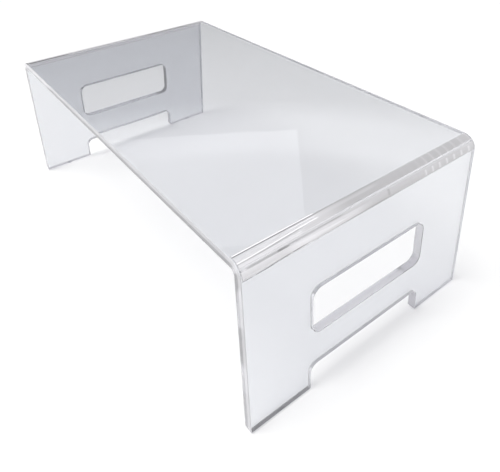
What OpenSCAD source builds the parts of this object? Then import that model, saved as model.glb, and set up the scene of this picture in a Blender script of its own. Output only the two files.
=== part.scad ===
// Clear acrylic bridge stand: one thick sheet, line-bent twice into a flat top on two end legs.
// Each leg has a rounded hand slot and a shallow notch that leaves two feet, and each foot
// stands on a small clear bumper pad. +X is the long way, +Z is up, and z = 0 is the tabletop.

/* [Sheet] */
// Length over the two bends, at the top face
top_length = 470; // [350:5:600]
// Depth of the sheet, front edge to back edge
sheet_depth = 270; // [200:5:340]
// Height of the sheet, from the feet's cut edge to the top face
sheet_height = 170; // [140:5:240]
// Thickness of the sheet
sheet_thickness = 8; // [6:1:10]
// Inside radius of the two bends
bend_inner_radius = 5; // [3:0.5:10]
// How far each leg leans outward from upright, in degrees
leg_splay = 3; // [0:0.5:5]

/* [Hand slots] */
// Width of each hand slot, along the depth of the stand
slot_width = 136; // [100:2:160]
// Height of each hand slot
slot_height = 47; // [30:1:55]
// Corner radius of each hand slot
slot_corner_radius = 9; // [3:0.5:14]
// Height of the slot's centre above the feet's cut edge
slot_centre_height = 85; // [70:1:90]

/* [Foot notches] */
// Width of the notch between the two feet of a leg
notch_width = 140; // [80:2:160]
// Height of the notch above the feet's cut edge
notch_height = 26; // [12:1:30]
// Radius of the notch's upper corners
notch_corner_radius = 8; // [2:0.5:11]

/* [Bumper pads] */
// Diameter of each self-adhesive pad
pad_diameter = 6; // [4:0.5:6]
// Thickness of each pad
pad_thickness = 1.5; // [1:0.1:3]
// Radius of the pad's lower rim
pad_rim_radius = 0.5; // [0.2:0.1:0.5]

/* [Hidden] */

$fn = 96;
sheet_colour = [0.86, 0.88, 0.93, 0.35];
pad_colour = [0.93, 0.94, 0.95, 0.6];
overcut = 10;

// The splay with its cosine rounded to six places, which is as exactly as a rotation is
// written out, so that the turned legs and the round bends meet without a step.
splay = acos(round(1e6 * cos(leg_splay)) / 1e6);

bend_outer_radius = bend_inner_radius + sheet_thickness;
// The bend's centre lies one outer radius in from both the top face and the leg's outer face.
// It is rounded to 0.01 mm, so that the flat top and the bends meet exactly.
bend_centre_x = round(100 * (top_length / 2
    - bend_outer_radius * (1 - sin(splay)) / cos(splay))) / 100;
bend_centre_z = sheet_height - bend_outer_radius;
// Longer than the leg, so that the cut level with the table trims it.
leg_stock_length = sheet_height / cos(splay) + sheet_thickness;

// The middle of the leg's thickness where it meets the table, before the pad lifts it.
foot_centre_x = top_length / 2 + sheet_height * tan(splay)
    - sheet_thickness / 2 / cos(splay);
// The middle of each foot, between the notch and the sheet's edge.
foot_centre_y = (notch_width / 2 + sheet_depth / 2) / 2;

module rounded_rectangle(width, height, radius) {
    square([width - 2 * radius, height], center = true);
    square([width, height - 2 * radius], center = true);
    for (x = [-1, 1], y = [-1, 1])
        translate([x * (width / 2 - radius), y * (height / 2 - radius)])
            circle(radius);
}

// The right bend and leg seen end-on, along the sheet's depth.
module bend_and_leg_profile() {
    quadrant = 2 * bend_outer_radius;
    translate([bend_centre_x, bend_centre_z]) {
        intersection() {
            difference() {
                circle(bend_outer_radius);
                circle(bend_inner_radius);
            }
            square(quadrant);
            rotate(splay) square(quadrant);
        }
        rotate(splay)
            translate([bend_inner_radius, -leg_stock_length])
                square([sheet_thickness, leg_stock_length]);
    }
}

// The whole end-on outline, cut level where the feet stand.
module sheet_profile() {
    translate([-bend_centre_x, sheet_height - sheet_thickness])
        square([2 * bend_centre_x, sheet_thickness]);
    intersection() {
        union() {
            bend_and_leg_profile();
            mirror([1, 0]) bend_and_leg_profile();
        }
        translate([-top_length, 0])
            square([2 * top_length, sheet_height]);
    }
}

// A cutter square to the right leg's face, through the leg at a height above the feet.
module cut_through_leg(height) {
    cutter_length = sheet_thickness + 2 * overcut;
    leg_face_x = top_length / 2 + (sheet_height - height) * tan(splay);
    translate([leg_face_x, 0, height])
        rotate([0, -splay, 0])
            translate([overcut - cutter_length, 0, 0])
                rotate([90, 0, 90])
                    linear_extrude(cutter_length)
                        children();
}

module leg_cutouts() {
    cut_through_leg(slot_centre_height)
        rounded_rectangle(slot_width, slot_height, slot_corner_radius);
    // The notch is the top of a taller rounded rectangle centred on the table line.
    cut_through_leg(0)
        rounded_rectangle(notch_width, 2 * notch_height, notch_corner_radius);
}

module bent_sheet() {
    color(sheet_colour)
        translate([0, 0, pad_thickness])
            difference() {
                translate([0, sheet_depth / 2, 0])
                    rotate([90, 0, 0])
                        linear_extrude(sheet_depth)
                            sheet_profile();
                leg_cutouts();
                mirror([1, 0, 0]) leg_cutouts();
            }
}

// One clear pad under the middle of a foot; side and front are -1 or 1.
module foot_pad(side, front) {
    radius = pad_diameter / 2;
    color(pad_colour)
        translate([side * foot_centre_x, front * foot_centre_y, 0])
            rotate_extrude() {
                square([radius - pad_rim_radius, pad_thickness]);
                translate([0, pad_rim_radius])
                    square([radius, pad_thickness - pad_rim_radius]);
                translate([radius - pad_rim_radius, pad_rim_radius])
                    circle(pad_rim_radius);
            }
}

bent_sheet();
foot_pad(-1, -1);  // foot_pad_front_left
foot_pad(1, -1);  // foot_pad_front_right
foot_pad(-1, 1);  // foot_pad_back_left
foot_pad(1, 1);  // foot_pad_back_right
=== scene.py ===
"""The clear acrylic bridge stand: visual meshes, materials, floor, lights and camera.

Everything is in metres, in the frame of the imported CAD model: +X along the long side, +Z up and
z = 0 on the surface the stand rests on. The sheet is drawn flat, as it was cut, and every point
is then carried round the two bends.
"""

import math

import bmesh
import bpy
import mathutils
from mathutils import Matrix, Vector


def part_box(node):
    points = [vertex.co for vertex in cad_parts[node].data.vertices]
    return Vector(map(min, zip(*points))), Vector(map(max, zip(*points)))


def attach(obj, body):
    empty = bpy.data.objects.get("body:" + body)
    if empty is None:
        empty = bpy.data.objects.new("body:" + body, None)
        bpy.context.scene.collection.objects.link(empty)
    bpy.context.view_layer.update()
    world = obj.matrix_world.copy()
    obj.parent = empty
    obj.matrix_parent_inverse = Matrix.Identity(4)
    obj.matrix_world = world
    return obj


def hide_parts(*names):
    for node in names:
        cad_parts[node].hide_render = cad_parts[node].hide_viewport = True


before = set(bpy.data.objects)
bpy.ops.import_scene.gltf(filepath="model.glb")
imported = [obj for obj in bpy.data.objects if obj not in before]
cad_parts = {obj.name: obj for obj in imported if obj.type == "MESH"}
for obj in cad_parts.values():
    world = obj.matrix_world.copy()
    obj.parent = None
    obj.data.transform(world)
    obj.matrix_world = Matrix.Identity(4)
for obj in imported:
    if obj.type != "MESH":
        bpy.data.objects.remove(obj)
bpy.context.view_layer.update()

# ---------------------------------------------------------------------------------------------
# Sizes. The outer ones are read from the frame, the rest repeat the CAD model's own dimensions.

MM = 0.001
SHEET = "bent_sheet"
PADS = (
    "foot_pad_front_left", "foot_pad_front_right", "foot_pad_back_left", "foot_pad_back_right",
)

sheet_low, sheet_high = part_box(SHEET)
HALF_DEPTH = sheet_high.y
TOP_Z = sheet_high.z
FOOT_Z = sheet_low.z
FOOT_X = sheet_high.x

THICKNESS = 8 * MM
INNER_RADIUS = 5 * MM
SPLAY = math.radians(3)
SLOT_WIDTH = 136 * MM
SLOT_HEIGHT = 47 * MM
SLOT_RADIUS = 9 * MM
SLOT_CENTRE_Z = FOOT_Z + 85 * MM
NOTCH_WIDTH = 140 * MM
NOTCH_HEIGHT = 26 * MM
NOTCH_RADIUS = 8 * MM

# The cut edges: their rounding and that of the feet's corners, the steps round a corner of the
# outline and round an edge, and the rows of faces across the straight part of a cut.
EDGE_RADIUS = 0.6 * MM
FOOT_CORNER_RADIUS = 1.5 * MM
CORNER_STEPS = 12
EDGE_ARC_STEPS = 5
FLAT_ROWS = 8
# A place is on a cut when it is nearer to the sheet's outline than this.
ON_CUT = 0.1 * MM
# The stretch of a foot over which the sheet's square cut turns level.
NEAR_FOOT = 3 * MM
# How satin each cut is, from 0 for clear to 1 for milky.
SATIN_LONG_EDGE = 0.8
SATIN_CUTOUT = 0.35
SATIN_FOOT = 0.05
# The painted tone on the feet's cut, a dark painted shade under the front right foot and a paler
# painted light under the others: how much of it there is, and how pale.
PAINTED_SHADE_FOOT = (0.9, 0.36)
PAINTED_LIGHT_FOOT = (0.9, 0.75)

OUTER_RADIUS = INNER_RADIUS + THICKNESS
MIDDLE_RADIUS = INNER_RADIUS + THICKNESS / 2
BEND_ANGLE = math.pi / 2 - SPLAY
LEG_FACE_X = FOOT_X - (TOP_Z - FOOT_Z) * math.tan(SPLAY)
BEND_X = LEG_FACE_X - OUTER_RADIUS * (1 - math.sin(SPLAY)) / math.cos(SPLAY)
BEND_Z = TOP_Z - OUTER_RADIUS

# Places along the flat sheet, measured from its middle along the middle of its thickness.
BEND_START = BEND_X
BEND_END = BEND_START + MIDDLE_RADIUS * BEND_ANGLE


def run_at_height(z):
    """How far along the flat sheet the leg's middle plane reaches the height z."""
    below_bend = BEND_Z + MIDDLE_RADIUS * math.sin(SPLAY) - z
    return BEND_END + below_bend / math.cos(SPLAY)


SHEET_END = run_at_height(FOOT_Z)
NOTCH_TOP = run_at_height(FOOT_Z + NOTCH_HEIGHT)
SLOT_MIDDLE = run_at_height(SLOT_CENTRE_Z)

# ---------------------------------------------------------------------------------------------
# Painted reflections and highlights on the bends: fine painted bright and dark lines that run
# along each bend, two grey bands of painted reflection with a painted bright ridge between them,
# and shallow ribs across the bands, which are shape, with painted bright ticks on them. A place on
# a bend is its turn (0 where the flat top ends, 1 where the leg begins) and its depth in metres,
# mirrored on the left so that the two bends are turned copies of each other.

# The ribs' spacing at mid depth, how it widens towards the rear, and how far they wander.
RIB_PITCH = 7.7 * MM
RIB_SPREAD = 1.46
RIB_START = 0.34
RIB_WANDER = 0.3
# Half the depth of the hollows between the ribs.
RIB_HEIGHT = 0.05 * MM
# The ribs' painted bright ticks in the upper band run ahead of those below by this, in radians.
UPPER_TICK_SHIFT = 2.7
# The higher this is, the finer the painted ticks are.
TICK_FINENESS = 10
# The bends' grids: their step across the sheet, and their steps round the bend.
RIB_STEP = 1.35 * MM
BEND_STEPS = 80
# How far the ribs run on into the flat faces.
FLARE = 6 * MM
FLARE_STEPS = 10
# The far bend, on the left, gets an even pale painted light too: on the outside from just before
# the bend, and on the inside all through it. How much painted light there is, and how pale it is
# on each side.
FAR_PAINTED_LIGHT = 0.92
FAR_OUTER_TONE = 0.62
FAR_INNER_TONE = 0.85
# The turns between which the outer face of a bend has painted marks at all.
FIRST_MARKED_TURN = -0.2
LAST_MARKED_TURN = 1.1


def ramp(value, low, high):
    """0 below low, 1 above high and smooth between them; falls instead where low > high."""
    part = min(max((value - low) / (high - low), 0), 1)
    return part * part * (3 - 2 * part)


def stripe(value, middle, half_width, soft):
    """1 within half_width of the middle, falling off over soft."""
    return ramp(abs(value - middle), half_width + soft, half_width)


def between(value, low, high, soft):
    """1 from low to high, falling off over soft outside them."""
    return ramp(value, low - soft, low) * ramp(value, high + soft, high)


def rib_phase(depth):
    """The ribs' phase across the sheet: they stand closer in the middle than at the rear."""
    wander = RIB_WANDER * math.sin(41 * depth + 1.7)
    ribs_passed = depth / RIB_PITCH * (1 - RIB_SPREAD * depth) - RIB_START
    return 2 * math.pi * ribs_passed + wander


def laid_over(marks, amount, tone):
    """Lays one more mark over the marks so far, and returns the two together.

    A mark is its amount, from 0 for none to 1 for opaque, and its tone, from 0 for black to
    1 for white.
    """
    under = marks[0] * (1 - amount)
    total = under + amount
    if total == 0:
        return marks
    return total, (under * marks[1] + amount * tone) / total


def outside_wedge(turn, depth):
    """1 outside the painted bright wedge that splits the painted lower band towards the front, 0
    inside it.
    """
    half_width = 0.10 * ramp(depth, -0.010, -0.085) - 0.02
    return ramp(abs(turn - 0.80), half_width, half_width + 0.02)


def front_painted_lines(turn, depth):
    """The fine painted highlights and painted dark reflections, as lines at the front half of a
    bend: (amount, tone) pairs.
    """
    white_reach = between(depth, -0.1315, -0.060, 0.004)
    slant = 0.34 - 0.09 * ramp(depth, -0.1315, -0.059)
    wedge = (1 - outside_wedge(turn, depth)) * between(depth, -0.078, -0.008, 0.02)
    broken = ramp(
        math.sin(161 * depth) + math.sin(397 * depth) + math.sin(733 * depth), -2.0, -1.4
    )
    low_line = 1.0 - 0.065 * ramp(depth, -0.125, -0.080)
    gaps = 1 - stripe(depth, -0.124, 0.0006, 0.001) - stripe(depth, -0.090, 0.0006, 0.001)
    return (
        # A pale painted reflection over the whole front, paler low down and in the wedge.
        (0.60 * between(turn, 0.07, 0.97, 0.04) * ramp(depth, -0.02, -0.06), 0.72 + 0.14 * turn),
        (0.96 * between(turn, 0.68, 0.90, 0.03) * ramp(depth, 0.0, -0.03), 0.85),
        (0.95 * wedge, 1.0),
        # The first painted highlight line, where the bend starts, and the painted dark reflection
        # line just under it.
        (0.98 * stripe(turn, -0.010, 0.026, 0.014) * white_reach, 1.0),
        (0.95 * stripe(turn, 0.058, 0.016, 0.014) * ramp(depth, -0.040, -0.060), 0.24),
        (0.60 * stripe(turn, 0.058, 0.016, 0.014) * between(depth, -0.058, 0.0, 0.02), 0.40),
        # A short painted highlight line.
        (0.90 * stripe(turn, 0.135, 0.004, 0.014) * between(depth, -0.082, -0.061, 0.006), 0.97),
        # The second painted highlight line, which slants, its painted dark line, and a pale
        # painted band before the ridge.
        (0.98 * stripe(turn, slant - 0.006, 0.018, 0.012) * white_reach, 0.98),
        (0.90 * stripe(turn, slant + 0.046, 0.014, 0.012) * ramp(depth, -0.065, -0.085), 0.36),
        (0.75 * between(turn, 0.40, 0.49, 0.02) * ramp(depth, -0.072, -0.080), 0.83),
        # The painted grey reflection lines below the ridge, one of them broken and with a painted
        # dark smudge.
        (0.50 * stripe(turn, 0.525, 0.008, 0.014) * between(depth, -0.095, -0.045, 0.01), 0.60),
        (0.90 * stripe(turn, 0.62, 0.024, 0.02) * ramp(depth, -0.088, -0.094) * broken, 0.48),
        (0.90 * stripe(turn, 0.62, 0.026, 0.02) * between(depth, -0.100, -0.092, 0.002), 0.26),
        (0.90 * stripe(turn, 0.60, 0.012, 0.02) * between(depth, -0.092, -0.042, 0.01), 0.46),
        # The painted dark reflection line where the leg begins, with two gaps.
        (0.95 * stripe(turn, low_line, 0.014, 0.014) * ramp(depth, -0.070, -0.085) * gaps, 0.26),
    )


def rear_painted_bands(turn, depth):
    """The two grey bands of painted reflection and the painted bright ridge between them: (amount,
    tone) pairs.
    """
    upper_from = -0.060 - 0.014 * ramp(turn, 0.24, 0.34)
    upper = between(turn, 0.035, 0.44, 0.02) * ramp(depth, upper_from - 0.003, upper_from + 0.003)
    lower = between(turn, 0.55, 0.955, 0.02) * ramp(depth, -0.085, -0.045)
    lower *= outside_wedge(turn, depth)
    rear_end = 0.04 * ramp(depth, 0.11, 0.13)
    streak = 0.06 * stripe(turn, 0.19, 0.03, 0.05) * ramp(depth, 0.012, 0.0)
    tick_phase = rib_phase(depth) + (UPPER_TICK_SHIFT if turn < 0.5 else 0.0)
    ribbed = ramp(depth, 0.03, 0.065) * (0.5 + 0.5 * math.cos(tick_phase))
    tick = ribbed ** TICK_FINENESS
    ridge = 0.48 + 0.035 * ramp(depth, -0.06, 0.02) - 0.03 * ramp(depth, 0.07, 0.12)
    return (
        # The two painted reflection bands, a little paler at the rear end, and each with a darker
        # painted border.
        (upper, 0.50 + rear_end + streak),
        (0.7 * upper * stripe(turn, 0.06, 0.015, 0.03) * ramp(depth, 0.03, 0.0), 0.42),
        (lower, 0.67 + rear_end),
        (0.8 * lower * stripe(turn, 0.930, 0.03, 0.03) * ramp(depth, 0.04, 0.0), 0.50),
        # The ribs' painted bright ticks, painted highlights, in each band.
        (0.40 * upper * tick, 0.72),
        (0.85 * between(turn, 0.68, 0.88, 0.05) * ramp(depth, 0.0, 0.03) * tick, 0.98),
        # One painted dark tick in the middle, and the ridge's painted highlight.
        (0.85 * stripe(depth, 0.015, 0.0006, 0.001) * between(turn, 0.60, 0.84, 0.03), 0.50),
        (0.85 * stripe(turn, ridge, 0.004, 0.022) * ramp(depth, -0.105, -0.085), 0.72),
    )


def bend_painted_marks(turn, depth):
    """All the painted reflections and highlights at a place on a bend's outer face, as one
    (amount, tone) pair.
    """
    marks = (0.0, 0.0)
    for amount, tone in rear_painted_bands(turn, depth) + front_painted_lines(turn, depth):
        marks = laid_over(marks, min(max(amount, 0.0), 1.0), tone)
    return marks


def rib_level(run, depth):
    """How far the ribs' hollows sink the surface at a flat place, as a level of 0 or less."""
    into = abs(run)
    if into <= BEND_START - FLARE or into >= BEND_END + FLARE:
        return 0.0
    middle = (BEND_START + BEND_END) / 2
    half_band = (BEND_END - BEND_START) / 2 + FLARE
    window = math.cos(math.pi / 2 * (into - middle) / half_band) ** 3
    own_depth = depth if run > 0 else -depth
    strength = ramp(own_depth, -0.02, 0.06)
    return RIB_HEIGHT * window * strength * (math.sin(rib_phase(own_depth)) - 1)


def on_stand(run, depth, level):
    """Carries a place on the flat sheet to the bent stand.

    run is along the sheet, depth across it and level through it, 0 on the inner face.
    Returns the point and the directions (along the run, out of the outer face) there.
    """
    side = 1 if run >= 0 else -1
    into = abs(run)
    if into <= BEND_START:
        turn = 0.0
        beyond = 0.0
        start = Vector((into, 0, BEND_Z))
    else:
        turn = min((into - BEND_START) / MIDDLE_RADIUS, BEND_ANGLE)
        beyond = max(into - BEND_END, 0.0)
        start = Vector((BEND_X, 0, BEND_Z))
    outward = Vector((math.sin(turn), 0, math.cos(turn)))
    along = Vector((math.cos(turn), 0, -math.sin(turn)))
    # The feet are cut level, so that the cut leans against the sheet by the splay.
    near_foot = min(max((into - SHEET_END) / NEAR_FOOT + 1, 0), 1)
    beyond += near_foot * (level - THICKNESS / 2) * math.tan(SPLAY)
    reach = INNER_RADIUS + level + rib_level(run, depth)
    point = start + outward * reach + along * beyond
    point.y = depth
    point.x *= side
    outward.x *= side
    along.x *= side
    return point, along * side, outward


# ---------------------------------------------------------------------------------------------
# Meshes

# Points that round to the same multiple of this are one point, and points this near are joined.
POINT_GRID = 0.0005 * MM
WELD_DISTANCE = 0.002 * MM
# A leg's outline begins this far past the line where its bend's grid ends, and the filling of
# the leg joins points that are nearer than SAME_PLACE.
JUST_PAST = 0.001 * MM
SAME_PLACE = 1e-7
# The kind of filling to ask for: only the triangles inside the outlines' edges.
TRIANGLES_INSIDE = 2
# What each point tells the materials: how far along the cut it is, how satin the cut is there,
# and how much painted tone it has (painted reflections, highlights, shade and light) and which
# tone.
MARKS = ("edge_run", "edge_satin", "painted_mark_amount", "painted_mark_tone")
NO_MARKS = (0.0, 0.0, 0.0, 0.0)
# How far to each side of a point the faces' slope is taken.
NORMAL_STEP = 0.05 * MM
# The materials' places on the sheet.
FACE_SLOT = 0
EDGE_SLOT = 1
BEND_SLOT = 2


def add_attribute(mesh, name, kind, key, values):
    """Stores a value for each point of the mesh under a name of its own."""
    attribute = mesh.attributes.new(name, kind, "POINT")
    attribute.data.foreach_set(key, values)


def weld(mesh):
    """Joins points that only rounding keeps apart."""
    form = bmesh.new()
    form.from_mesh(mesh)
    bmesh.ops.remove_doubles(form, verts=form.verts[:], dist=WELD_DISTANCE)
    form.to_mesh(mesh)
    form.free()


class Shell:
    """Collects points with their own smooth normals, and the faces between them."""

    def __init__(self):
        self.index = {}
        self.points = []
        self.normals = []
        self.marks = []
        self.faces = []
        self.face_slots = []

    def point(self, place, normal, marks):
        """The number of the point at a place, which is added when it is new."""
        key = tuple(round(c / POINT_GRID) for c in place)
        if key not in self.index:
            self.index[key] = len(self.points)
            self.points.append(place)
            self.normals.append(normal.normalized())
            self.marks.append(marks)
        return self.index[key]

    def face(self, corners, slot):
        """Adds a face, unless two of its corners are one point."""
        if len(set(corners)) == len(corners) and len(corners) > 2:
            self.faces.append(corners)
            self.face_slots.append(slot)

    def to_object(self, name, materials):
        """Makes the scene's object of the points and faces so far."""
        mesh = bpy.data.meshes.new(name)
        mesh.from_pydata(self.points, [], self.faces)
        for material in materials:
            mesh.materials.append(material)
        mesh.polygons.foreach_set("material_index", self.face_slots)
        mesh.polygons.foreach_set("use_smooth", [True] * len(self.faces))
        flat_normals = [c for normal in self.normals for c in normal]
        add_attribute(mesh, "own_normal", "FLOAT_VECTOR", "vector", flat_normals)
        for i, mark in enumerate(MARKS):
            add_attribute(mesh, mark, "FLOAT", "value", [marks[i] for marks in self.marks])
        weld(mesh)
        own_normals = [Vector(n.vector) for n in mesh.attributes["own_normal"].data]
        mesh.normals_split_custom_set_from_vertices(own_normals)
        piece = bpy.data.objects.new(name, mesh)
        bpy.context.scene.collection.objects.link(piece)
        return piece


def rounded_loop(corners):
    """A closed outline from (run, depth, radius) corners, taken with the sheet on its left.

    Returns (place, outward direction) pairs along it, with each corner as an arc.
    """
    loop = []
    count = len(corners)
    for i, (run, depth, radius) in enumerate(corners):
        here = Vector((run, depth))
        before = (Vector(corners[i - 1][:2]) - here).normalized()
        after = (Vector(corners[(i + 1) % count][:2]) - here).normalized()
        out_before = Vector((-before.y, before.x))
        out_after = Vector((after.y, -after.x))
        if radius == 0:
            loop.append((here, out_before))
            continue
        convex = before.x * after.y - before.y * after.x < 0
        reach = radius / math.tan(math.acos(before.dot(after)) / 2)
        centre = here + before * reach - out_before * (radius if convex else -radius)
        first = math.atan2(out_before.y, out_before.x)
        turn = out_before.angle_signed(out_after)
        for k in range(CORNER_STEPS + 1):
            angle = first - turn * k / CORNER_STEPS
            out = Vector((math.cos(angle), math.sin(angle)))
            loop.append((centre + out * (radius if convex else -radius), out))
    return loop


def band_stations():
    """Places along the sheet through a bend, from the flat before it to the flat after it."""
    flare = [FLARE * k / FLARE_STEPS for k in range(1, FLARE_STEPS + 1)]
    bend = [BEND_START + (BEND_END - BEND_START) * k / BEND_STEPS for k in range(BEND_STEPS + 1)]
    return [BEND_START - f for f in reversed(flare)] + bend + [BEND_END + f for f in flare]


def sheet_outline():
    """The outer outline of the flat sheet, with the notches and a point at every bend step."""
    stations = band_stations()
    right_end = [
        (SHEET_END, -HALF_DEPTH, FOOT_CORNER_RADIUS),
        (SHEET_END, -NOTCH_WIDTH / 2, FOOT_CORNER_RADIUS),
        (NOTCH_TOP, -NOTCH_WIDTH / 2, NOTCH_RADIUS),
        (NOTCH_TOP, NOTCH_WIDTH / 2, NOTCH_RADIUS),
        (SHEET_END, NOTCH_WIDTH / 2, FOOT_CORNER_RADIUS),
        (SHEET_END, HALF_DEPTH, FOOT_CORNER_RADIUS),
    ]
    front = [(run, -HALF_DEPTH, 0) for run in [-s for s in reversed(stations)] + stations]
    back = [(-run, HALF_DEPTH, 0) for run, _, _ in front]
    left_end = [(-run, -depth, radius) for run, depth, radius in right_end]
    return rounded_loop(front + right_end + back + left_end)


def slot_outline(side):
    """The outline of a hand slot, taken the other way round because it is a hole."""
    half_height = SLOT_HEIGHT / 2 / math.cos(SPLAY)
    middle = side * SLOT_MIDDLE
    half_width = SLOT_WIDTH / 2
    corners = [(-1, -1), (-1, 1), (1, 1), (1, -1)]
    return rounded_loop([
        (middle + a * half_height, b * half_width, SLOT_RADIUS) for a, b in corners
    ])


def edge_section():
    """The cut's section, outer face first: (inset, level, how far the normal leans up) steps."""
    above = []
    for k in range(EDGE_ARC_STEPS + 1):
        angle = math.pi / 2 * k / EDGE_ARC_STEPS
        inset = EDGE_RADIUS * (1 - math.sin(angle))
        level = THICKNESS - EDGE_RADIUS * (1 - math.cos(angle))
        above.append((inset, level, math.pi / 2 - angle))
    below = [(inset, THICKNESS - level, -lean) for inset, level, lean in reversed(above)]
    height = THICKNESS - 2 * EDGE_RADIUS
    rows = range(FLAT_ROWS - 1, 0, -1)
    straight = [(0.0, EDGE_RADIUS + height * k / FLAT_ROWS, 0.0) for k in rows]
    return above + straight + below


def satin_at(place, level, travelled):
    """How satin the cut is: more on the long sawn edges, hardly at all under the feet.

    The long edges are more satin above mid thickness, and vary slowly along their length.
    """
    if abs(place.y) > HALF_DEPTH - ON_CUT:
        streak = 0.5 + 0.5 * math.sin(37 * travelled + 2 * math.sin(90 * travelled))
        upper = ramp(level, 0.52 * THICKNESS, 0.62 * THICKNESS)
        return SATIN_LONG_EDGE * (0.62 + 0.38 * upper) * (0.8 + 0.2 * streak)
    if abs(place.x) > SHEET_END - ON_CUT:
        return SATIN_FOOT
    return SATIN_CUTOUT


def foot_painted_marks(place):
    """The cut under the front right foot has a dark painted shade; under the other feet, a paler
    painted light.
    """
    if abs(place.x) < SHEET_END - ON_CUT:
        return 0.0, 0.0
    return PAINTED_SHADE_FOOT if place.x > 0 > place.y else PAINTED_LIGHT_FOOT


def edge_point(shell, place, out, inset, level, lean, travelled):
    """A point of a cut edge: a step of its section at a place on the outline."""
    flat = place - out * inset
    point, along, outward = on_stand(flat.x, flat.y, level)
    sideways = along * out.x + Vector((0, out.y, 0))
    normal = sideways * math.cos(lean) + outward * math.sin(lean)
    marks = foot_painted_marks(place)
    return shell.point(point, normal, (travelled, satin_at(place, level, travelled), *marks))


def add_edge(shell, loop):
    """Sweeps the cut's section round an outline."""
    travelled = [0.0]
    for (a, _), (b, _) in zip(loop, loop[1:]):
        travelled.append(travelled[-1] + (b - a).length)
    rings = [
        [edge_point(shell, *loop[i], *step, travelled[i]) for i in range(len(loop))]
        for step in edge_section()
    ]
    for upper, lower in zip(rings, rings[1:]):
        for i in range(len(loop)):
            j = (i + 1) % len(loop)
            shell.face([upper[i], lower[i], lower[j], upper[j]], EDGE_SLOT)


def face_painted_marks(run, depth, outer):
    """What a point of the outer or inner face tells the materials."""
    turn = (abs(run) - BEND_START) / (BEND_END - BEND_START)
    if outer and FIRST_MARKED_TURN < turn < LAST_MARKED_TURN:
        drawn = bend_painted_marks(turn, depth if run > 0 else -depth)
        # On the far bend a pale painted light is laid over the outer face, and all through the
        # inner one.
        if run < 0:
            amount = FAR_PAINTED_LIGHT * between(turn, -0.14, 0.06, 0.02)
            drawn = laid_over(drawn, amount, FAR_OUTER_TONE)
        return (0.0, 0.0, *drawn)
    if run < 0 and not outer:
        return (0.0, 0.0, FAR_PAINTED_LIGHT * between(turn, 0.0, 1.0, 0.1), FAR_INNER_TONE)
    return NO_MARKS


def face_point(shell, run, depth, outer):
    """A point of the outer or inner face, with the normal that the ribs give it."""
    level = THICKNESS if outer else 0.0
    step = NORMAL_STEP
    point = on_stand(run, depth, level)[0]
    by_run = on_stand(run + step, depth, level)[0] - on_stand(run - step, depth, level)[0]
    by_depth = on_stand(run, depth + step, level)[0] - on_stand(run, depth - step, level)[0]
    normal = by_run.cross(by_depth)
    return shell.point(point, normal if outer else -normal, face_painted_marks(run, depth, outer))


def depths_across():
    """Places across the sheet, a rib step apart, between the two rounded edges."""
    inner = HALF_DEPTH - EDGE_RADIUS
    count = round(2 * inner / RIB_STEP)
    return [-inner + 2 * inner * k / count for k in range(count + 1)]


def add_bend(shell, side, outer):
    """The fine grid that covers a bend, with its flares, on one face of the sheet."""
    runs = [side * run for run in band_stations()]
    depths = depths_across()
    grid = [[face_point(shell, run, depth, outer) for depth in depths] for run in runs]
    slot = BEND_SLOT if outer or side < 0 else FACE_SLOT
    for a, b in zip(grid, grid[1:]):
        for k in range(len(depths) - 1):
            quad = [a[k], b[k], b[k + 1], a[k + 1]]
            shell.face(quad if outer == (side > 0) else quad[::-1], slot)


def add_flat_with_holes(shell, outer, rim, holes):
    """Fills a flat stretch of one face from its rim and its holes, given as flat places."""
    loops = [rim] + holes
    places = [p for loop in loops for p in loop]
    edges = []
    for loop in loops:
        base = len(edges)
        edges += [(base + i, base + (i + 1) % len(loop)) for i in range(len(loop))]
    spots, _, triangles, *_ = mathutils.geometry.delaunay_2d_cdt(
        [Vector(p) for p in places], edges, [], TRIANGLES_INSIDE, SAME_PLACE
    )
    ids = [face_point(shell, spot.x, spot.y, outer) for spot in spots]
    for triangle in triangles:
        # A triangle with no corner on the rim lies in a hole, which is left open.
        if min(triangle) >= len(rim):
            continue
        a, b, c = (spots[i] for i in triangle)
        left_turn = (b - a).cross(c - a) > 0
        corners = [ids[i] for i in triangle]
        shell.face(corners if left_turn == outer else corners[::-1], FACE_SLOT)


def build_sheet(materials):
    """The whole bent sheet as one closed mesh: cut edges, bends, legs and top."""
    shell = Shell()
    outline = sheet_outline()
    slots = [slot_outline(-1), slot_outline(1)]
    for loop in [outline] + slots:
        add_edge(shell, loop)
    inset = [place - out * EDGE_RADIUS for place, out in outline]
    inset_slots = [[place - out * EDGE_RADIUS for place, out in loop] for loop in slots]
    depths = depths_across()
    for outer in (True, False):
        for side in (-1, 1):
            add_bend(shell, side, outer)
            leg = [p for p in inset if side * p.x > BEND_END + FLARE + JUST_PAST]
            bend_line = [Vector((side * (BEND_END + FLARE), depth)) for depth in depths]
            rim = leg + (bend_line[::-1] if side > 0 else bend_line)
            add_flat_with_holes(shell, outer, rim, [inset_slots[(side + 1) // 2]])
        top_run = BEND_START - FLARE
        right = [Vector((top_run, depth)) for depth in depths]
        left = [Vector((-top_run, depth)) for depth in reversed(depths)]
        top = [face_point(shell, p.x, p.y, outer) for p in right + left]
        shell.face(top if outer else top[::-1], FACE_SLOT)
    return shell.to_object("clear_sheet", materials)


# The pads: the rounding of the rim, its steps, and the sides round each pad.
PAD_RIM = 0.5 * MM
PAD_RIM_STEPS = 8
PAD_SIDES = 48
# The points that the turning leaves in one place are joined when they are this near.
PAD_WELD = 0.001 * MM


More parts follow.
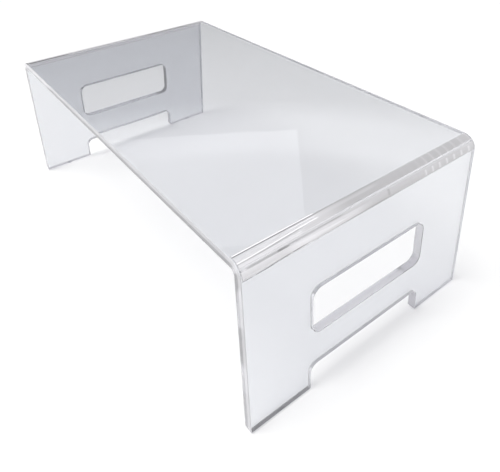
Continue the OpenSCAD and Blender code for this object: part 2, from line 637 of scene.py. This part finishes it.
def build_pad(node):
    """A turned bumper pad: a flat stuck face, a slight waist and a soft rounded rim."""
    low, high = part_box(node)
    middle = (low + high) / 2
    radius = (high.x - low.x) / 2
    height = high.z - low.z
    rim = PAD_RIM
    # The profile runs from the middle of the bottom, round the rim, and past a slight waist to the
    # middle of the stuck face.
    profile = [(0, 0), (radius - 1.6 * rim, 0)]
    for k in range(PAD_RIM_STEPS + 1):
        angle = math.pi / 2 * k / PAD_RIM_STEPS
        profile.append((radius - rim + rim * math.sin(angle), rim - rim * math.cos(angle)))
    profile += [(radius, 0.55 * height), (radius - 0.05 * rim, 0.7 * height)]
    profile += [(radius, 0.9 * height), (radius - 0.1 * rim, height), (0, height)]
    mesh = bpy.data.meshes.new(node)
    form = bmesh.new()
    spun = [form.verts.new((middle.x + r, middle.y, low.z + z)) for r, z in profile]
    for a, b in zip(spun, spun[1:]):
        form.edges.new((a, b))
    bmesh.ops.spin(
        form, geom=form.verts[:] + form.edges[:], cent=(middle.x, middle.y, low.z),
        axis=(0, 0, 1), angle=2 * math.pi, steps=PAD_SIDES,
    )
    bmesh.ops.remove_doubles(form, verts=form.verts[:], dist=PAD_WELD)
    bmesh.ops.recalc_face_normals(form, faces=form.faces[:])
    form.to_mesh(mesh)
    form.free()
    mesh.polygons.foreach_set("use_smooth", [True] * len(mesh.polygons))
    piece = bpy.data.objects.new("visual_" + node, mesh)
    bpy.context.scene.collection.objects.link(piece)
    return piece


# ---------------------------------------------------------------------------------------------
# Materials

ACRYLIC_IOR = 1.49
PAD_IOR = 1.5
# A grey tint darker than clear acrylic has: painted shade that stands in for darker surroundings
# seen through the sheet and reflected in it.
CLEAR_TINT_WITH_PAINTED_SHADE = (0.785, 0.795, 0.825, 1)
EDGE_TINT = (0.74, 0.74, 0.77, 1)
PAD_TINT = (0.9, 0.91, 0.93, 1)
FLOOR_TINT = (0.86, 0.86, 0.86, 1)
# The palest and the darkest tone of the painted reflections, highlights, shade and light.
PALEST_PAINTED_TONE = (0.91, 0.90, 0.93, 1)
DARKEST_PAINTED_TONE = (0.0, 0.0, 0.0, 1)
# How much of a lamp's light each surface lets through.
FACE_SHADE = (0.94, 0.94, 0.945, 1)
EDGE_SHADE = (0.6, 0.6, 0.62, 1)
BEND_SHADE = (0.8, 0.8, 0.82, 1)
PAD_SHADE = (0.9, 0.9, 0.9, 1)


def new_material(name):
    """An empty material that uses nodes, with its nodes and its links."""
    material = bpy.data.materials.new(name)
    material.use_nodes = True
    material.node_tree.nodes.clear()
    return material, material.node_tree.nodes, material.node_tree.links


def noise(nodes, links, coordinates, scale, detail):
    """A noise texture: scale is its spots to the metre, detail its finer layers."""
    texture = nodes.new("ShaderNodeTexNoise")
    texture.inputs["Scale"].default_value = scale
    texture.inputs["Detail"].default_value = detail
    links.new(coordinates, texture.inputs["Vector"])
    return texture.outputs["Fac"]


def spread(nodes, links, source, low, high):
    """Maps the middle of a noise texture's range onto low to high."""
    ranged = nodes.new("ShaderNodeMapRange")
    ranged.inputs["From Min"].default_value = 0.3
    ranged.inputs["From Max"].default_value = 0.7
    ranged.inputs["To Min"].default_value = low
    ranged.inputs["To Max"].default_value = high
    links.new(source, ranged.inputs["Value"])
    return ranged.outputs["Result"]


def bump(nodes, links, height, distance, strength):
    """A normal that follows a height map, which is distance deep at full strength."""
    node = nodes.new("ShaderNodeBump")
    node.inputs["Distance"].default_value = distance
    node.inputs["Strength"].default_value = strength
    links.new(height, node.inputs["Height"])
    return node.outputs["Normal"]


def finish_clear(nodes, links, surface, shade):
    """Lets lamps through as far as shade says, so that the clear plastic throws a pale shadow."""
    output = nodes.new("ShaderNodeOutputMaterial")
    through = nodes.new("ShaderNodeBsdfTransparent")
    through.inputs["Color"].default_value = shade
    path = nodes.new("ShaderNodeLightPath")
    mix = nodes.new("ShaderNodeMixShader")
    links.new(path.outputs["Is Shadow Ray"], mix.inputs["Fac"])
    links.new(surface, mix.inputs[1])
    links.new(through.outputs["BSDF"], mix.inputs[2])
    links.new(mix.outputs["Shader"], output.inputs["Surface"])


def clear_face_material():
    """The sheet's faces: clear, with the faint waviness and smudges of a handled sheet."""
    material, nodes, links = new_material("clear_acrylic_face")
    place = nodes.new("ShaderNodeTexCoord").outputs["Object"]
    shader = nodes.new("ShaderNodeBsdfPrincipled")
    shader.inputs["Base Color"].default_value = CLEAR_TINT_WITH_PAINTED_SHADE
    shader.inputs["Transmission Weight"].default_value = 1.0
    shader.inputs["IOR"].default_value = ACRYLIC_IOR
    smudges = noise(nodes, links, place, 34, 6)
    links.new(spread(nodes, links, smudges, 0.0, 0.035), shader.inputs["Roughness"])
    waves = noise(nodes, links, place, 9, 2)
    links.new(bump(nodes, links, waves, 0.25 * MM, 0.6), shader.inputs["Normal"])
    finish_clear(nodes, links, shader.outputs["BSDF"], FACE_SHADE)
    return material


def told_by_mesh(nodes, name):
    """One of the numbers that the mesh holds at its points."""
    attribute = nodes.new("ShaderNodeAttribute")
    attribute.attribute_name = name
    return attribute.outputs["Fac"]


def lay_painted_marks(nodes, links, clear, place):
    """Lays the mesh's painted marks over a clear shader: painted reflections, highlights, shade
    and light as a fine grey layer, as pale as the mesh says.

    Seen from inside the plastic, the layer glows with the light that falls on it from outside.
    """
    tints = nodes.new("ShaderNodeValToRGB")
    tints.color_ramp.elements[0].color = DARKEST_PAINTED_TONE
    tints.color_ramp.elements[1].color = PALEST_PAINTED_TONE
    links.new(told_by_mesh(nodes, "painted_mark_tone"), tints.inputs["Fac"])
    rough_haze_and_painted_layer = nodes.new("ShaderNodeBsdfPrincipled")
    rough_haze_and_painted_layer.inputs["Roughness"].default_value = 0.3
    rough_haze_and_painted_layer.inputs["IOR"].default_value = ACRYLIC_IOR
    links.new(tints.outputs["Color"], rough_haze_and_painted_layer.inputs["Base Color"])
    grain = noise(nodes, links, place, 420, 3)
    links.new(bump(nodes, links, grain, 0.04 * MM, 0.5), rough_haze_and_painted_layer.inputs["Normal"])
    glow = nodes.new("ShaderNodeBsdfTranslucent")
    links.new(tints.outputs["Color"], glow.inputs["Color"])
    sides = nodes.new("ShaderNodeMixShader")
    geometry = nodes.new("ShaderNodeNewGeometry")
    links.new(geometry.outputs["Backfacing"], sides.inputs["Fac"])
    links.new(rough_haze_and_painted_layer.outputs["BSDF"], sides.inputs[1])
    links.new(glow.outputs["BSDF"], sides.inputs[2])
    mix = nodes.new("ShaderNodeMixShader")
    links.new(told_by_mesh(nodes, "painted_mark_amount"), mix.inputs["Fac"])
    links.new(clear, mix.inputs[1])
    links.new(sides.outputs["Shader"], mix.inputs[2])
    return mix.outputs["Shader"]


def clear_edge_material():
    """The cut edges: clear to satin, with fine cutter marks across the thickness, and the painted
    shade and light under the feet.
    """
    material, nodes, links = new_material("clear_acrylic_edge")
    place = nodes.new("ShaderNodeTexCoord").outputs["Object"]
    streak_place = nodes.new("ShaderNodeCombineXYZ")
    links.new(told_by_mesh(nodes, "edge_run"), streak_place.inputs["X"])
    shader = nodes.new("ShaderNodeBsdfPrincipled")
    shader.inputs["Base Color"].default_value = EDGE_TINT
    shader.inputs["IOR"].default_value = ACRYLIC_IOR
    clear = nodes.new("ShaderNodeMath")
    clear.operation = "SUBTRACT"
    clear.inputs[0].default_value = 1.0
    links.new(told_by_mesh(nodes, "edge_satin"), clear.inputs[1])
    links.new(clear.outputs["Value"], shader.inputs["Transmission Weight"])
    marks = noise(nodes, links, streak_place.outputs["Vector"], 900, 3)
    rough_haze_and_painted_layer = noise(nodes, links, place, 120, 3)
    links.new(spread(nodes, links, rough_haze_and_painted_layer, 0.03, 0.16), shader.inputs["Roughness"])
    links.new(bump(nodes, links, marks, 0.05 * MM, 0.5), shader.inputs["Normal"])
    surface = lay_painted_marks(nodes, links, shader.outputs["BSDF"], place)
    finish_clear(nodes, links, surface, EDGE_SHADE)
    return material


def clear_bend_material():
    """The bends' outer faces, and the far bend's inner one: clear under their painted reflections,
    highlights and light.
    """
    material, nodes, links = new_material("clear_acrylic_bend")
    place = nodes.new("ShaderNodeTexCoord").outputs["Object"]
    clear = nodes.new("ShaderNodeBsdfPrincipled")
    clear.inputs["Base Color"].default_value = CLEAR_TINT_WITH_PAINTED_SHADE
    clear.inputs["Roughness"].default_value = 0.02
    clear.inputs["Transmission Weight"].default_value = 1.0
    clear.inputs["IOR"].default_value = ACRYLIC_IOR
    surface = lay_painted_marks(nodes, links, clear.outputs["BSDF"], place)
    finish_clear(nodes, links, surface, BEND_SHADE)
    return material


def pad_material():
    """The bumper pads: soft clear plastic, slightly milky."""
    material, nodes, links = new_material("clear_soft_pad")
    place = nodes.new("ShaderNodeTexCoord").outputs["Object"]
    shader = nodes.new("ShaderNodeBsdfPrincipled")
    shader.inputs["Base Color"].default_value = PAD_TINT
    shader.inputs["Transmission Weight"].default_value = 0.7
    shader.inputs["IOR"].default_value = PAD_IOR
    grain = noise(nodes, links, place, 900, 3)
    links.new(spread(nodes, links, grain, 0.04, 0.14), shader.inputs["Roughness"])
    links.new(bump(nodes, links, grain, 0.03 * MM, 0.5), shader.inputs["Normal"])
    finish_clear(nodes, links, shader.outputs["BSDF"], PAD_SHADE)
    return material


def floor_material():
    """The pale matt table top."""
    material, nodes, links = new_material("pale_floor")
    shader = nodes.new("ShaderNodeBsdfDiffuse")
    shader.inputs["Color"].default_value = FLOOR_TINT
    output = nodes.new("ShaderNodeOutputMaterial")
    links.new(shader.outputs["BSDF"], output.inputs["Surface"])
    return material


# ---------------------------------------------------------------------------------------------
# The stand


sheet = build_sheet([clear_face_material(), clear_edge_material(), clear_bend_material()])
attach(sheet, "root")
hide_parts(SHEET)

soft = pad_material()
for node in PADS:
    pad = build_pad(node)
    pad.data.materials.append(soft)
    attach(pad, "root")
    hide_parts(node)


# ---------------------------------------------------------------------------------------------
# Floor, light and camera

FLOOR_REACH = 6.0
# The studio's brightness over the height above the horizon: each step is a place, from 0
# straight down through 0.5 for the horizon to 1 straight up, and the brightness there.
SKY = (
    (0.0, 0.50), (0.15, 0.48), (0.27, 0.05), (0.44, 0.06), (0.475, 0.40), (0.52, 0.46),
    (0.54, 0.24), (0.70, 0.22), (0.76, 0.17), (1.0, 0.17),
)


def add_floor():
    """A square floor that reaches FLOOR_REACH each way from the stand."""
    reach = FLOOR_REACH
    mesh = bpy.data.meshes.new("floor")
    corners = [(-reach, -reach, 0), (reach, -reach, 0), (reach, reach, 0), (-reach, reach, 0)]
    mesh.from_pydata(corners, [], [(0, 1, 2, 3)])
    mesh.materials.append(floor_material())
    floor = bpy.data.objects.new("floor", mesh)
    bpy.context.scene.collection.objects.link(floor)


def add_softbox(name, place, aim, width, height, brightness):
    """An evenly bright rectangle that faces aim."""
    light = bpy.data.lights.new(name, "AREA")
    light.shape = "RECTANGLE"
    light.size = width
    light.size_y = height
    light.energy = brightness * math.pi * width * height
    lamp = bpy.data.objects.new(name, light)
    facing = (Vector(aim) - Vector(place)).to_track_quat("-Z", "Y").to_matrix().to_4x4()
    lamp.matrix_world = Matrix.Translation(place) @ facing
    bpy.context.scene.collection.objects.link(lamp)


def add_sun(toward, width, brightness):
    """The far overhead lamp: it stands in the direction toward and looks width radians wide.

    It reaches the floor under the clear sheet only as far as the sheet's materials let lamps
    through, so that its light isn't counted twice there.
    """
    light = bpy.data.lights.new("overhead", "SUN")
    light.angle = width
    light.energy = brightness
    lamp = bpy.data.objects.new("overhead", light)
    lamp.matrix_world = Vector(toward).to_track_quat("Z", "Y").to_matrix().to_4x4()
    lamp.visible_glossy = False
    lamp.visible_transmission = False
    bpy.context.scene.collection.objects.link(lamp)


def add_world(sky, strength):
    """The studio all round: a grey dome whose brightness follows the steps of sky."""
    world = bpy.data.worlds.new("studio")
    world.use_nodes = True
    nodes, links = world.node_tree.nodes, world.node_tree.links
    direction = nodes.new("ShaderNodeTexCoord").outputs["Generated"]
    split = nodes.new("ShaderNodeSeparateXYZ")
    dome = nodes.new("ShaderNodeValToRGB")
    steps = dome.color_ramp.elements
    while len(steps) < len(sky):
        steps.new(0.5)
    for step, (place, part) in zip(steps, sky):
        step.position = place
        step.color = (part, part, part, 1)
    links.new(direction, split.inputs["Vector"])
    links.new(split.outputs["Z"], dome.inputs["Fac"])
    links.new(dome.outputs["Color"], nodes["Background"].inputs["Color"])
    nodes["Background"].inputs["Strength"].default_value = strength
    bpy.context.scene.world = world


def add_camera(place, heading, dip, roll, lens, shift):
    """A camera at place, looking along a heading and down by dip, and rolled, in degrees.

    The heading is turned from +X towards +Y.
    """
    heading, dip, roll = (math.radians(a) for a in (heading, dip, roll))
    forward = Vector((
        math.cos(dip) * math.cos(heading), math.cos(dip) * math.sin(heading), -math.sin(dip)
    ))
    level = Vector((math.sin(heading), -math.cos(heading), 0))
    down = forward.cross(level)
    right = level * math.cos(roll) + down * math.sin(roll)
    up = level * math.sin(roll) - down * math.cos(roll)
    data = bpy.data.cameras.new("camera")
    data.lens = lens
    data.shift_x, data.shift_y = shift
    camera = bpy.data.objects.new("camera", data)
    turn = Matrix((right, up, -forward)).transposed()
    camera.matrix_world = Matrix.Translation(place) @ turn.to_4x4()
    bpy.context.scene.collection.objects.link(camera)
    bpy.context.scene.camera = camera


add_floor()
add_world(SKY, strength=1.85)
add_sun(toward=(-0.15, -0.38, 1.0), width=0.46, brightness=2.68)
add_softbox(
    "window", place=(-3.4, 2.1, 3.2), aim=(0, 0, 0.17), width=2.0, height=1.2, brightness=0.5
)
add_softbox(
    "side", place=(2.6, -0.6, 1.5), aim=(0.2, 0, 0.1), width=1.6, height=1.2, brightness=1.5
)
add_softbox(
    "front", place=(0.2, -2.0, 0.9), aim=(0, 0, 0.1), width=1.4, height=0.8, brightness=1.0
)
add_softbox(
    "strip", place=(0.9, 1.5, 1.0), aim=(0.2, 0, 0.17), width=0.12, height=0.9, brightness=3
)
add_camera(
    place=(0.4386, -0.2811, 0.4151 + FOOT_Z), heading=144.95, dip=28.76, roll=1.91,
    lens=37.39, shift=(0.0379, -0.2240),
)
bpy.context.scene.view_settings.view_transform = "Standard"
